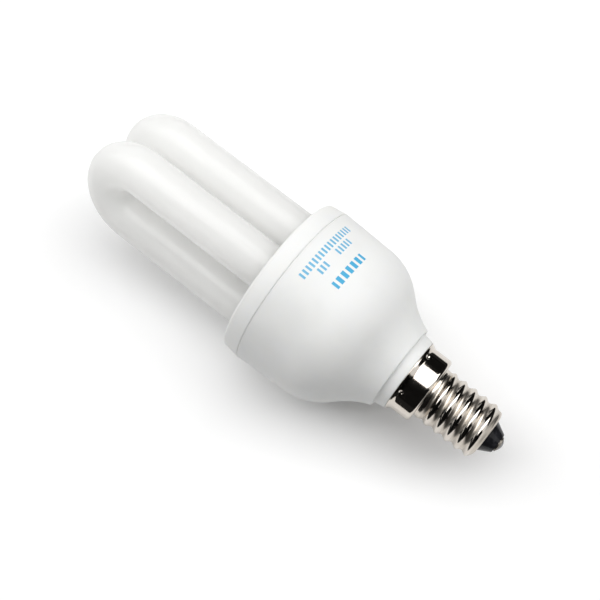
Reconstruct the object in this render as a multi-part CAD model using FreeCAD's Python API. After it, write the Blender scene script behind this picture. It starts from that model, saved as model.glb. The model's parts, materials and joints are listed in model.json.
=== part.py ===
import FreeCAD, Part
import math
import os

# Compact fluorescent lamp with two U shaped glass tubes, a plastic ballast housing and a small
# screw cap, lying on a table on the straight barrel of its housing.
# Millimetres. The lamp is drawn along its own axis first: X runs from the glass to the cap with
# X = 0 at the joint between tube holder and housing, Y across the two U bends and Z along each U.
# At the end every piece is rolled, tilted and moved to where the lamp comes to rest, with the
# table at Z = 0.

Vector = FreeCAD.Vector
ORIGIN = Vector(0, 0, 0)
AXIS = Vector(1, 0, 0)
UP = Vector(0, 0, 1)
ACROSS = Vector(0, 1, 0)

# Clearances
FIT = 0.1                     # between moulded parts that slide together
LEAD_FIT = 0.05               # round a wire in its hole

# Glass tube
tube_diameter = 11.3
glass_wall = 0.8
leg_gap = 4.7                 # free width between the two legs of one U
u_gap = 2.2                   # free width between the two U bends
leg_reach = 42.3              # joint to the start of the bend
foot_depth = 3.4              # joint to the rounded foot of a leg, inside the holder
foot_dome = 2.2               # height of that rounding
bridge_diameter = 4.4         # short tube that joins the two U bends inside the holder
pinch_length = 1.4            # flat seal where the wires leave the glass
pinch_width = 6.4
pinch_thickness = 2.0

# Tube holder
holder_depth = 4.55           # front face to the joint
holder_margin = 4.38          # from the outline of the legs to the rim of the front face
holder_flare = 0.45           # wider at the joint than at the front face
face_thickness = 1.5
holder_wall = 1.4
rim_round = 0.8
edge_break = 0.16             # rounding of the two edges that make the joint line
leg_hole_gap = 0.2            # round each leg where it enters the face
socket_wall = 1.0
socket_height = 1.6           # sleeves behind the face, round the legs
cement_height = 2.1           # bed of cement behind the face
skirt_length = 8.0            # part of the holder that plugs into the housing
skirt_wall = 1.2
hook_count = 4
hook_height = 0.45
hook_length = 1.6
hook_width = 5.0

# Ballast housing
housing_wall = 1.3
barrel_draft = 2.5            # degrees
barrel_length = 13.2
flank_angle = 43.0            # degrees, steepest fall of the wall
flank_share = 0.15            # straight flank, as a share of the shoulder's rounding
throat_share = 1.28           # rounding of the throat, as a share of the shoulder's
throat_angle = 20.5           # degrees, at the step to the neck
throat_step = 1.0             # from the throat down to the neck
neck_step = 0.47              # taper of the neck's ring
neck_ring_length = 2.75
neck_over_rim = 0.15          # the ring stands a little outside the cap's rim
spigot_length = 4.8           # part of the neck that the cap slides on
spigot_wall = 1.4
rib_count = 6
rib_width = 1.2
rib_depth = 1.4
rib_length = 4.0

# Screw cap, standard small screw size
sheet = 0.3
thread_radius = 6.92          # over the crests
thread_depth = 0.77
thread_pitch = 2.822
thread_width = 2.2            # of the rolled ridge at its foot
thread_first = 2.06           # shoulder to the first crest, at the start angle
thread_angle = 38.1           # degrees round the axis, from Y towards Z
thread_length = 16.0          # shoulder to the end of the turned-in lip
thread_runout = 0.25          # turns over which the ridge rises and sinks
ridge_foot = 0.2              # of the ridge inside the core
ridge_points = 12             # of the thread's line in each turn
skirt_over_thread = 1.58
rim_flare = 0.6
cap_skirt_length = 6.3
skirt_round = 0.9
lip_round = 1.6
lip_width = 0.45              # flat of the turned-in lip
crimp_count = 5
crimp_first = 85.0            # degrees round the axis, from Y towards Z
crimp_from_rim = 1.35
crimp_ball = 0.8
crimp_depth = 0.26

# Insulator and contact
insulator_height = 2.9        # black cone past the lip
insulator_tip_radius = 2.5
insulator_depth = 3.0         # inside the lip
contact_radius = 1.9
contact_height = 0.75
contact_shank_radius = 0.8
contact_shank_wall = 0.25
contact_shank_end = 0.4       # of the shank, past the black glass inside the cap
solder_radius = 1.25
solder_height = 0.45

# Circuit board and its parts
board_thickness = 1.6
pin_side = 0.8
pin_length = 8.0
pin_tail = 1.2                # below the board
pin_margin = 3.65             # board's edge to the pins
pin_angles = (59.0, 76.0, 104.0, 121.0)
wrap_height = 1.6
lead_diameter = 0.4
part_lead = 0.6               # leads of the board's parts
part_tail = 1.0               # lead ends below the board
stand_off = 0.4               # parts above the board
capacitor_diameter = 9.0
capacitor_over_barrel = 1.8   # the can reaches this far past the length of the barrel
capacitor_place = (0.0, -5.2)
capacitor_lead_pitch = 5.0
choke_place = (0.0, 8.7)
choke_share = 0.65            # width along the centre leg, as a share of the board's radius
choke_slimness = 0.48         # its thickness, as a share of that width
choke_under_barrel = 0.8      # lower than the length of the barrel
choke_back = 2.2
choke_leg = 3.0
bobbin_wall = 0.5
bobbin_flange = 0.7
bobbin_foot = 1.0
winding_fill = 0.8            # share of its room that a winding fills
winding_proud = 1.4           # past the thickness of the former
ring_place = (10.8, -4.6)
ring_diameter = 8.4
ring_bore = 4.2
ring_height = 3.4
ring_wire = 0.6
ring_slack = 0.22             # between the turns and the ring
ring_turns = (30.0, 150.0, 270.0)
film_size = (3.2, 8.6, 7.6)   # thickness, width, height
film_places = ((-5.6, -12.2), (5.6, -12.2))
film_lead_pitch = 5.0
filter_place = (-8.6, -0.6)
filter_diameter = 6.0
filter_height = 8.0
filter_flange = 1.0
transistor_places = ((10.6, 7.0), (-10.6, 7.0))
transistor_diameter = 4.6
transistor_flat = 1.2         # axis of the body to its flat face
transistor_height = 4.6
transistor_lead = 2.4
transistor_pitch = 1.27
diode_ring = 14.9             # radius on which the diodes stand
diode_angles = (162.0, 178.0, 194.0, 210.0)
diode_diameter = 2.6
diode_length = 5.2
resistor_places = ((7.6, 2.6), (10.6, 2.6), (13.6, 2.6))
resistor_diameter = 1.8
resistor_length = 3.8
trigger_place = (-6.4, 4.2)
trigger_diameter = 1.7
trigger_length = 3.6
hairpin = 2.2                 # spacing of the two leads of a part that stands on end
layout_radius = 19.07         # radius of the board that the places are laid out for
board_turn = -149.5           # degrees, layout of the board round the axis: its heavy choke is low

# Wires to the cap
wire_diameter = 0.7
wire_bend = 2.5
live_place = (0.0, 1.6)
neutral_place = (-4.2, 2.4)
neutral_angle = 121.0         # degrees round the axis, where the wire is clamped
fuse_diameter = 2.6
fuse_length = 7.0

# Rest
rest_roll = -23.5             # degrees round the axis, from standing U bends

# Sizes and places that follow from those above
tube_radius = tube_diameter / 2
leg_pitch = tube_diameter + leg_gap
u_spacing = tube_diameter + u_gap
bend_radius = leg_pitch / 2
holder_radius = math.hypot(leg_pitch, u_spacing) / 2 + tube_radius + holder_margin
joint_radius = holder_radius + holder_flare
cap_skirt_radius = thread_radius + skirt_over_thread
cap_rim_radius = cap_skirt_radius + rim_flare
thread_root = thread_radius - thread_depth
lip_hole_radius = thread_root - lip_round - lip_width
neck_ring_radius = cap_rim_radius + neck_over_rim
neck_step_radius = neck_ring_radius + neck_step
throat_radius = neck_step_radius + throat_step
face_back = -holder_depth + face_thickness
cement_back = face_back + cement_height
board_front = skirt_length
board_back = board_front + board_thickness
skirt_radius = joint_radius - housing_wall - FIT - skirt_length * math.tan(math.radians(barrel_draft))
board_radius = skirt_radius - FIT
parts_floor = board_back + stand_off
pin_radius = board_radius - pin_margin
capacitor_height = barrel_length + capacitor_over_barrel
choke_length = choke_share * board_radius
choke_thickness = choke_slimness * choke_length
choke_height = barrel_length - choke_under_barrel
cap_sheet_inside = cap_skirt_radius - sheet
spigot_radius = cap_sheet_inside - LEAD_FIT
spigot_bore = spigot_radius - spigot_wall


def around(angle, radius, x=0.0):
    """Point at a place round the lamp's axis, the angle in degrees from Y towards Z."""
    turn = math.radians(angle)
    return Vector(x, radius * math.cos(turn), radius * math.sin(turn))


def fall(angle):
    """Direction along a wall that falls towards the axis at this angle."""
    return Vector(math.cos(angle), 0, -math.sin(angle))


def inward(angle):
    """Direction towards the axis, square to that wall."""
    return Vector(-math.sin(angle), 0, -math.cos(angle))


class Outline:
    """Closed outline in the plane of the axis, given by places along it and radii."""

    def __init__(self, x, radius):
        self.first = Vector(x, 0, radius)
        self.here = self.first
        self.edges = []

    def line_to(self, place):
        if self.here.distanceToPoint(place) > 1e-6:
            self.edges.append(Part.LineSegment(self.here, place).toShape())
        self.here = place
        return self

    def line(self, x, radius):
        return self.line_to(Vector(x, 0, radius))

    def arc_to(self, middle, place):
        self.edges.append(Part.Arc(self.here, middle, place).toShape())
        self.here = place
        return self

    def corner(self, x, radius, centre_x, centre_radius):
        """Quarter round to a place, about a centre."""
        centre = Vector(centre_x, 0, centre_radius)
        place = Vector(x, 0, radius)
        outwards = (self.here - centre) + (place - centre)
        outwards.normalize()
        size = self.here.distanceToPoint(centre)
        return self.arc_to(centre + outwards * size, place)

    def turned(self):
        """Solid of revolution about the lamp's axis."""
        self.line_to(self.first)
        face = Part.Face(Part.Wire(self.edges))
        return face.revolve(ORIGIN, AXIS, 360)


def rod(start, direction, radius, length):
    return Part.makeCylinder(radius, length, start, direction)


def block(low, high):
    size = high - low
    return Part.makeBox(size.x, size.y, size.z, low)


def rounded_path(points, bend):
    """Wire through the points, with an arc of the given radius at each turn."""
    edges = []
    here = points[0]
    for before, corner, after in zip(points, points[1:], points[2:]):
        back = (before - corner).normalize()
        ahead = (after - corner).normalize()
        half_turn = (math.pi - back.getAngle(ahead)) / 2
        cut = bend * math.tan(half_turn)
        inside = (back + ahead).normalize()
        centre = corner + inside * (bend / math.cos(half_turn))
        begin = corner + back * cut
        finish = corner + ahead * cut
        edges.append(Part.LineSegment(here, begin).toShape())
        edges.append(Part.Arc(begin, centre - inside * bend, finish).toShape())
        here = finish
    edges.append(Part.LineSegment(here, points[-1]).toShape())
    return Part.Wire(edges)


def wire(points, diameter, bend):
    """Round wire along a path of straight runs and arcs."""
    path = rounded_path(points, bend)
    heading = points[1] - points[0]
    ring = Part.Wire(Part.makeCircle(diameter / 2, points[0], heading))
    return path.makePipeShell([ring], True, True)


def joined(first, *others):
    return first.fuse(list(others)).removeSplitter()


# Glass

def leg_places():
    """Y and Z of the four legs, upper legs first."""
    return [(side * u_spacing / 2, level * leg_pitch / 2) for level in (1, -1) for side in (1, -1)]


def u_bend(y, inset):
    """One tube bent to a U, from foot to foot, its surface moved into the glass by an inset."""
    upper = Vector(foot_depth - foot_dome, y, leg_pitch / 2)
    upper_end = Vector(-leg_reach, y, leg_pitch / 2)
    lower_end = Vector(-leg_reach, y, -leg_pitch / 2)
    lower = Vector(foot_depth - foot_dome, y, -leg_pitch / 2)
    tip = Vector(-leg_reach - bend_radius, y, 0)
    path = Part.Wire([
        Part.LineSegment(upper, upper_end).toShape(),
        Part.Arc(upper_end, tip, lower_end).toShape(),
        Part.LineSegment(lower_end, lower).toShape(),
    ])
    ring = Part.Wire(Part.makeCircle(tube_radius - inset, upper, AXIS))
    return path.makePipeShell([ring], True, True)


def leg_foot(y, z, inset):
    """Rounded end of a leg."""
    shoulder = tube_radius - foot_dome
    start = foot_depth - foot_dome
    dome = Outline(start, 0).line(start, tube_radius - inset)
    dome.corner(foot_depth - inset, shoulder, start, shoulder)
    dome = dome.line(foot_depth - inset, 0).turned()
    dome.translate(Vector(0, y, z))
    return dome


def pinch_seal(y, z):
    """Flat press at the end of a leg that has an electrode."""
    low = Vector(foot_depth - glass_wall / 2, y - pinch_width / 2, z - pinch_thickness / 2)
    high = Vector(foot_depth + pinch_length, y + pinch_width / 2, z + pinch_thickness / 2)
    seal = block(low, high)
    edges = [edge for edge in seal.Edges if abs(edge.tangentAt(edge.FirstParameter).x) > 0.9]
    return seal.makeFillet(pinch_thickness / 2 - FIT, edges)


def vessel(inset):
    """Both U bends with their feet and the bridge between the upper legs, moved in by an inset."""
    halves = [u_bend(side * u_spacing / 2, inset) for side in (1, -1)]
    feet = [leg_foot(y, z, inset) for y, z in leg_places()]
    bridge_start = Vector(cement_back + bridge_diameter / 2 + FIT, -u_spacing / 2, leg_pitch / 2)
    bridge = rod(bridge_start, ACROSS, bridge_diameter / 2 - inset, u_spacing)
    return joined(halves[0], halves[1], bridge, *feet)


def discharge_tube():
    """Both U bends, joined by the bridge into one sealed glass vessel with a pressed seal on two legs."""
    seals = [pinch_seal(y, z) for y, z in leg_places() if z < 0]
    return joined(vessel(0), *seals).cut(vessel(glass_wall))


# Holder and housing

def tube_holder():
    """Cup that holds the four legs, with a skirt that snaps into the housing."""
    inner = joint_radius - holder_wall
    body = Outline(-holder_depth, 0).line(-holder_depth, holder_radius - rim_round)
    body.corner(-holder_depth + rim_round, holder_radius, -holder_depth + rim_round,
                holder_radius - rim_round)
    body.line(-edge_break, joint_radius).corner(0, joint_radius - edge_break, -edge_break,
                                                joint_radius - edge_break)
    body.line(0, skirt_radius).line(skirt_length, skirt_radius)
    body.line(skirt_length, skirt_radius - skirt_wall).line(0, skirt_radius - skirt_wall)
    body.line(-edge_break, inner - skirt_wall).line(face_back, inner - skirt_wall)
    body = body.line(face_back, 0).turned()
    sleeves = [rod(Vector(face_back, y, z), AXIS, tube_radius + leg_hole_gap + socket_wall, socket_height)
               for y, z in leg_places()]
    holes = [rod(Vector(-holder_depth, y, z), AXIS, tube_radius + leg_hole_gap,
                 face_thickness + socket_height) for y, z in leg_places()]
    return joined(body, *sleeves, *snap_hooks()).cut(holes)


def hook_outline():
    """Ramp of one snap hook, as a turned ring."""
    start = skirt_length - hook_length - 2 * hook_height
    ramp = Outline(start, skirt_radius - skirt_wall / 2).line(start, skirt_radius + hook_height)
    ramp.line(start + hook_height, skirt_radius + hook_height)
    ramp.line(start + hook_length, skirt_radius)
    return ramp.line(start + hook_length, skirt_radius - skirt_wall / 2).turned()


def hook_sectors(width):
    """Blocks that cut the snap ring into separate hooks."""
    sectors = []
    for number in range(hook_count):
        sector = block(Vector(0, 0, -width / 2), Vector(board_back, joint_radius, width / 2))
        sector.rotate(ORIGIN, AXIS, 360 * (number + 0.5) / hook_count)
        sectors.append(sector)
    return sectors


def snap_hooks():
    ring = hook_outline()
    return [ring.common(sector) for sector in hook_sectors(hook_width)]


def hook_pockets():
    """Room in the housing's wall for the snap hooks."""
    start = skirt_length - hook_length - 2 * hook_height
    ring = Outline(start - FIT, skirt_radius - FIT).line(start - FIT, skirt_radius + hook_height + FIT)
    ring.line(start + hook_length + FIT, skirt_radius + hook_height + FIT)
    ring = ring.line(start + hook_length + FIT, skirt_radius - FIT).turned()
    return [ring.common(sector) for sector in hook_sectors(hook_width + 2 * FIT)]


def tube_cement():
    """Bed of cement that fixes the legs, cast round them behind the holder's face."""
    radius = joint_radius - holder_wall - skirt_wall
    bed = rod(Vector(face_back, 0, 0), AXIS, radius, cement_height)
    sleeves = [rod(Vector(face_back, y, z), AXIS, tube_radius + leg_hole_gap + socket_wall, socket_height)
               for y, z in leg_places()]
    legs = [rod(Vector(face_back, y, z), AXIS, tube_radius, cement_height) for y, z in leg_places()]
    return bed.cut(sleeves).cut(legs)


def shoulder_size():
    """Rounding of the shoulder with which the wall comes down to the throat."""
    draft, flank, throat = [math.radians(a) for a in (barrel_draft, flank_angle, throat_angle)]
    drop = joint_radius - barrel_length * math.sin(draft) - throat_radius
    shares = math.cos(draft) - math.cos(flank) + flank_share * math.sin(flank)
    return drop / (shares + throat_share * (math.cos(throat) - math.cos(flank)))


def housing_wall_line(outline, inset):
    """Adds the housing's wall to an outline, moved towards the axis by an inset."""
    draft, flank, throat = [math.radians(a) for a in (barrel_draft, flank_angle, throat_angle)]
    shoulder_round = shoulder_size()
    throat_round = throat_share * shoulder_round
    flank_length = flank_share * shoulder_round
    barrel_end = Vector(0, 0, joint_radius) + fall(draft) * barrel_length
    shoulder_centre = barrel_end + inward(draft) * shoulder_round
    flank_start = shoulder_centre - inward(flank) * shoulder_round
    throat_centre = flank_start + fall(flank) * flank_length - inward(flank) * throat_round
    convex = shoulder_round - inset
    hollow = throat_round + inset
    outline.line_to(shoulder_centre - inward(draft) * convex)
    outline.arc_to(shoulder_centre - inward((draft + flank) / 2) * convex,
                   shoulder_centre - inward(flank) * convex)
    outline.line_to(throat_centre + inward(flank) * hollow)
    outline.arc_to(throat_centre + inward((flank + throat) / 2) * hollow,
                   throat_centre + inward(throat) * hollow)
    return outline


def neck_start():
    """Place along the axis where the throat ends and the neck begins."""
    return housing_wall_line(Outline(0, joint_radius), 0).here.x


def cap_start():
    """Place along the axis where the cap's rim meets the neck."""
    return neck_start() + neck_ring_length


def housing_bore_radius(x):
    """Radius of the housing's bore along the straight barrel."""
    draft = math.radians(barrel_draft)
    return joint_radius - housing_wall / math.cos(draft) - x * math.tan(draft)


def ballast_housing():
    """Moulded shell from the joint to the neck, with ribs that the board rests on."""
    step = neck_start()
    rim = cap_start()
    outside = Outline(0, 0).line(0, joint_radius - edge_break)
    outside.corner(edge_break, joint_radius, edge_break, joint_radius - edge_break)
    housing_wall_line(outside, 0)
    outside.line(step, neck_step_radius).line(rim, neck_ring_radius).line(rim, spigot_radius)
    outside = outside.line(rim + spigot_length, spigot_radius).line(rim + spigot_length, 0).turned()
    inside = Outline(0, 0).line(0, housing_bore_radius(0))
    housing_wall_line(inside, housing_wall)
    inside.line(step + housing_wall, spigot_bore).line(rim + spigot_length, spigot_bore)
    inside = inside.line(rim + spigot_length, 0).turned()
    shell = joined(outside.cut(inside), *board_ribs())
    groove = wire_groove(rim)
    return shell.cut(hook_pockets() + crimp_balls(rim, crimp_ball + sheet + LEAD_FIT) + [groove])


def board_ribs():
    """Ribs along the wall whose ends stop the board."""
    ribs = []
    for number in range(rib_count):
        low = Vector(board_back, housing_bore_radius(board_back) - rib_depth, -rib_width / 2)
        high = Vector(board_back + rib_length, housing_bore_radius(board_back) + housing_wall / 2,
                      rib_width / 2)
        rib = block(low, high)
        rib.rotate(ORIGIN, AXIS, 360 * (number + 0.25) / rib_count)
        ribs.append(rib)
    return ribs


# Cap

def crimp_balls(rim, radius):
    """Balls that press the cap's skirt into the neck."""
    centre = cap_skirt_radius - crimp_depth + crimp_ball
    return [Part.makeSphere(radius, around(crimp_first + 360 * number / crimp_count, centre,
                                           rim + crimp_from_rim))
            for number in range(crimp_count)]


def thread_ridge(inset):
    """Rolled ridge of the right-handed thread, which rises from the core and sinks back into it."""
    first = cap_start() + cap_skirt_length + thread_first
    start = -thread_first / thread_pitch + thread_runout
    turns = (thread_length - lip_round) / thread_pitch - thread_runout
    points = []
    count = round(turns * ridge_points)
    for number in range(count + 1):
        turn = start + turns * number / count
        nearest_end = min(turn - start, start + turns - turn)
        risen = (1 - math.cos(math.pi * min(nearest_end / thread_runout, 1))) / 2
        radius = thread_root - ridge_foot - inset - (thread_depth + ridge_foot) * (1 - risen)
        points.append(around(thread_angle + 360 * turn, radius, first + thread_pitch * turn))
    curve = Part.BSplineCurve()
    curve.interpolate(points)
    half = AXIS * (thread_width / 2 - inset)
    outward = around(thread_angle + 360 * start, thread_depth + ridge_foot)
    low, high = points[0] - half, points[0] + half
    section = Part.Wire([Part.Arc(low, points[0] + outward, high).toShape(),
                         Part.LineSegment(high, low).toShape()])
    sweep = Part.BRepOffsetAPI.MakePipeShell(Part.Wire(curve.toShape()))
    sweep.setBiNormalMode(AXIS)
    sweep.add(section, False, False)
    sweep.build()
    sweep.makeSolid()
    return sweep.shape()


def cap_outline(inset):
    """Line of the cap's sheet from rim to lip, moved towards the axis by an inset."""
    rim = cap_start()
    shoulder = rim + cap_skirt_length
    end = shoulder + thread_length
    skirt = cap_skirt_radius - inset
    root = thread_root - inset
    edge = rim + sheet - inset
    outline = Outline(rim, 0).line(rim, cap_rim_radius - inset).line(edge, cap_rim_radius - inset)
    outline.line(edge + cap_rim_radius - cap_skirt_radius, skirt)
    outline.line(shoulder - skirt_round, skirt)
    outline.corner(shoulder - inset, skirt - skirt_round + inset, shoulder - skirt_round,
                   cap_skirt_radius - skirt_round)
    outline.line(shoulder - inset, root)
    outline.line(end - lip_round, root)
    outline.corner(end - inset, thread_root - lip_round, end - lip_round, thread_root - lip_round)
    return outline.line(end - inset, 0)


def cap_shell():
    """Screw cap pressed from thin sheet, with its thread rolled into it."""
    rim = cap_start()
    lip = rim + cap_skirt_length + thread_length
    outside, inside = [cap_outline(inset).turned().fuse(thread_ridge(inset)) for inset in (0, sheet)]
    shell = outside.cut(inside)
    shell = shell.cut(rod(Vector(rim, 0, 0), AXIS, lip_hole_radius, lip - rim))
    lobes = [ball.common(rod(Vector(rim, 0, 0), AXIS, cap_skirt_radius - sheet / 2, cap_skirt_length))
             for ball in crimp_balls(rim, crimp_ball + sheet)]
    return joined(shell, *lobes).cut(crimp_balls(rim, crimp_ball))


def cap_insulator():
    """Black glass cast into the end of the cap, with a hole for the contact."""
    lip = cap_start() + cap_skirt_length + thread_length
    inner = thread_root - sheet
    tip = lip + insulator_height
    body = Outline(lip - insulator_depth, contact_shank_radius)
    body.line(lip - insulator_depth, inner).line(lip - lip_round, inner)
    body.corner(lip - sheet, thread_root - lip_round, lip - lip_round, thread_root - lip_round)
    body.line(lip - sheet, lip_hole_radius).line(lip, lip_hole_radius)
    body.line(tip, insulator_tip_radius).line(tip, contact_shank_radius)
    return body.turned()


def centre_contact():
    """Brass eyelet with a bevelled head and a hollow shank through the insulator."""
    tip = cap_start() + cap_skirt_length + thread_length + insulator_height
    bore = contact_shank_radius - contact_shank_wall
    start = tip - insulator_height - insulator_depth - contact_shank_end
    body = Outline(start, bore).line(start, contact_shank_radius).line(tip, contact_shank_radius)
    body.line(tip, contact_radius)
    body.line(tip + contact_height / 2, contact_radius)
    return body.line(tip + contact_height, solder_radius).line(tip + contact_height, bore).turned()


def contact_solder():
    """Bead of solder that closes the eyelet."""
    face = cap_start() + cap_skirt_length + thread_length + insulator_height + contact_height
    round_radius = (solder_radius ** 2 + solder_height ** 2) / (2 * solder_height)
    centre = face + solder_height - round_radius
    middle_angle = math.asin(solder_radius / round_radius) / 2
    middle = Vector(centre + round_radius * math.cos(middle_angle), 0, round_radius * math.sin(middle_angle))
    bead = Outline(face, 0).line(face, solder_radius)
    return bead.arc_to(middle, Vector(face + solder_height, 0, 0)).turned()


# Board

def board_point(place, x=board_back):
    """Point over a place in the layout, which grows and shrinks with the board."""
    spread = board_radius / layout_radius
    return Vector(x, place[0] * spread, place[1] * spread)


def pin_places():
    return [around(angle, pin_radius) for angle in pin_angles]


def lead_pair(place, pitch, direction=ACROSS):
    """Two straight leads through the board."""
    ends = []
    for side in (1, -1):
        start = board_point(place, board_front - part_tail) + direction * (side * pitch / 2)
        ends.append(rod(start, AXIS, part_lead / 2, part_tail + board_thickness + stand_off))
    return ends


def circuit_board():
    """Round board, drilled for its pins, leads and wires."""
    board = rod(Vector(board_front, 0, 0), AXIS, board_radius, board_thickness)
    holes = []
    half = pin_side / 2
    for place in pin_places():
        holes.append(block(place + Vector(board_front, -half, -half),
                           place + Vector(board_back, half, half)))
    for place, pitch, direction in lead_holes():
        for side in (1, -1):
            start = board_point(place, board_front) + direction * (side * pitch / 2)
            holes.append(rod(start, AXIS, part_lead / 2, board_thickness))
    for place, pitch in transistor_leads():
        for side in (1, 0, -1):
            start = board_point(place, board_front) + ACROSS * (side * pitch)
            holes.append(rod(start, AXIS, part_lead / 2, board_thickness))
    for place in (live_place, neutral_place):
        holes.append(rod(board_point(place, board_front), AXIS, wire_diameter / 2, board_thickness))
    holes += [rod(lead_hole(angle) + AXIS * board_front, AXIS, lead_diameter / 2, board_thickness)
              for angle in pin_angles]
    return board.cut(holes)


def lead_holes():
    """Place, pitch and direction of every pair of leads in the board."""
    pairs = [(capacitor_place, capacitor_lead_pitch, ACROSS)]
    pairs += [(place, film_lead_pitch, ACROSS) for place in film_places]
    pairs += [(filter_place, filter_diameter / 2, UP)]
    pairs += [(place, hairpin, direction) for place, direction in standing_parts()]
    return pairs


def standing_parts():
    """Places and lead directions of the parts that stand on end: diodes, resistors, trigger."""
    parts = []
    for angle in diode_angles:
        place = around(angle, diode_ring)
        parts.append(((place.y, place.z), around(angle + 180, 1)))
    parts += [(place, UP) for place in resistor_places]
    parts.append((trigger_place, ACROSS))
    return parts


def transistor_leads():
    return [(place, transistor_pitch) for place in transistor_places]


def bulk_capacitor():
    """Can that smooths the rectified mains, standing on the board."""
    radius = capacitor_diameter / 2
    groove = radius / 12
    top = parts_floor + capacitor_height
    lip = radius / 5
    can = Outline(parts_floor, 0).line(parts_floor, radius).line(parts_floor + lip, radius)
    can.arc_to(Vector(parts_floor + 1.5 * lip, 0, radius - groove), Vector(parts_floor + 2 * lip, 0, radius))
    can.line(top - groove, radius).corner(top, radius - groove, top - groove, radius - groove)
    can = can.line(top, 0).turned()
    can.translate(board_point(capacitor_place, 0))
    return joined(can, *lead_pair(capacitor_place, capacitor_lead_pitch))


def choke_box(half_across, low, high, half_thick):
    """Block about the choke's centre, given half its width, its heights and half its thickness."""
    corner = Vector(0, half_across, half_thick)
    return block(board_point(choke_place, low) - corner, board_point(choke_place, high) + corner)


def choke_floor():
    return parts_floor + bobbin_foot


def choke_core():
    """Ferrite core: two E halves that meet at the centre leg."""
    low = choke_floor()
    high = low + choke_height
    half = choke_length / 2
    middle = (low + high) / 2
    core = choke_box(half, low, high, choke_thickness / 2)
    lower = choke_box(half - choke_back, low + choke_back / 2, middle - choke_leg / 2, choke_thickness / 2)
    upper = choke_box(half - choke_back, middle + choke_leg / 2, high - choke_back / 2, choke_thickness / 2)
    return core.cut([lower, upper])


def choke_bobbin():
    """Plastic former round the centre leg, with flanges and feet on the board."""
    low = choke_floor()
    high = low + choke_height
    middle = (low + high) / 2
    half = choke_length / 2 - choke_back - FIT
    sleeve_thick = choke_thickness / 2 + FIT + bobbin_wall
    outer = choke_box(half, middle - choke_leg / 2 - FIT - bobbin_wall,
                      middle + choke_leg / 2 + FIT + bobbin_wall, sleeve_thick)
    flange_low = low + choke_back / 2 + FIT
    flange_high = high - choke_back / 2 - FIT
    flanges = choke_box(half, flange_low, flange_high, choke_thickness / 2)
    flanges = flanges.fuse(choke_box(half, middle - choke_leg / 2 - FIT - bobbin_wall - FIT,
                                     middle + choke_leg / 2 + FIT + bobbin_wall + FIT,
                                     sleeve_thick + bobbin_wall))
    between = choke_box(half - bobbin_flange, low, high, choke_thickness)
    flanges = flanges.cut(between)
    window = choke_box(half, middle - choke_leg / 2 - FIT, middle + choke_leg / 2 + FIT,
                       choke_thickness / 2 + FIT)
    feet = choke_feet(half, middle, sleeve_thick)
    return joined(outer, flanges, *feet).cut(window)


def choke_feet(half, middle, reach):
    """Feet beside the core that carry the choke, with a lead in each."""
    feet = []
    y, z = board_point(choke_place).y, board_point(choke_place).z
    for side in (1, -1):
        for edge in (1, -1):
            inner = edge * (choke_thickness / 2 + FIT)
            outer = edge * (reach + bobbin_wall)
            low_z, high_z = sorted((z + inner, z + outer))
            low_y, high_y = sorted((y + side * (half - bobbin_flange), y + side * half))
            feet.append(block(Vector(board_back, low_y, low_z), Vector(middle, high_y, high_z)))
    return feet


def choke_winding():
    """Copper wire wound on the former."""
    low = choke_floor()
    high = low + choke_height
    middle = (low + high) / 2
    half = choke_length / 2 - choke_back - FIT - bobbin_flange
    inner_high = choke_leg / 2 + FIT + bobbin_wall
    inner_thick = choke_thickness / 2 + FIT + bobbin_wall
    room = (choke_height - choke_back) / 2 - inner_high
    build = room * winding_fill
    outer = choke_box(half, middle - inner_high - build, middle + inner_high + build,
                      inner_thick + winding_proud)
    edges = [edge for edge in outer.Edges if abs(edge.tangentAt(edge.FirstParameter).y) > 0.9]
    outer = outer.makeFillet(winding_proud * winding_fill, edges)
    inner = choke_box(half, middle - inner_high, middle + inner_high, inner_thick)
    return outer.cut(inner)


def drive_ring_core():
    """Small ferrite ring that switches the transistors."""
    start = board_point(ring_place, parts_floor + ring_wire)
    ring = rod(start, AXIS, ring_diameter / 2, ring_height)
    return ring.cut(rod(start, AXIS, ring_bore / 2, ring_height))


def drive_ring_windings():
    """Turns of wire through the ring, with their ends in the board."""
    turns = []
    wall = (ring_diameter - ring_bore) / 2
    low = parts_floor
    high = parts_floor + 2 * ring_wire + ring_height
    for angle in ring_turns:
        out = around(angle, 1)
        across = around(angle + 90, 1)
        middle = board_point(ring_place, 0) + out * (ring_bore / 2 + wall / 2)
        for shift in (-1, 0, 1):
            centre = middle + across * (shift * ring_wire)
            reach = wall / 2 + ring_slack + ring_wire
            outer = turn_block(centre, out, reach, low, high)
            inner = turn_block(centre, out, reach - ring_wire, low + ring_wire, high - ring_wire)
            turns.append(outer.cut(inner))
        tail = middle + out * (wall / 2 + ring_slack + ring_wire / 2)
        turns.append(rod(Vector(board_back, tail.y, tail.z), AXIS, ring_wire / 2, stand_off + ring_wire))
    return [joined(*turns[first:first + 4]) for first in range(0, len(turns), 4)]


def turn_block(centre, out, reach, low, high):
    """Upright block of one wire's width, turned to face out of the ring."""
    box = block(Vector(low, -reach, -ring_wire / 2), Vector(high, reach, ring_wire / 2))
    box.rotate(ORIGIN, AXIS, math.degrees(math.atan2(out.z, out.y)))
    box.translate(Vector(0, centre.y, centre.z))
    return box


def film_capacitor(place):
    """Dipped film capacitor with rounded edges."""
    thickness, width, height = film_size
    corner = Vector(0, width / 2, thickness / 2)
    body = block(board_point(place, parts_floor) - corner, board_point(place, parts_floor + height) + corner)
    edges = [edge for edge in body.Edges if abs(edge.tangentAt(edge.FirstParameter).x) > 0.9]
    body = body.makeFillet(thickness / 3, edges)
    return joined(body, *lead_pair(place, film_lead_pitch))


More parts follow.
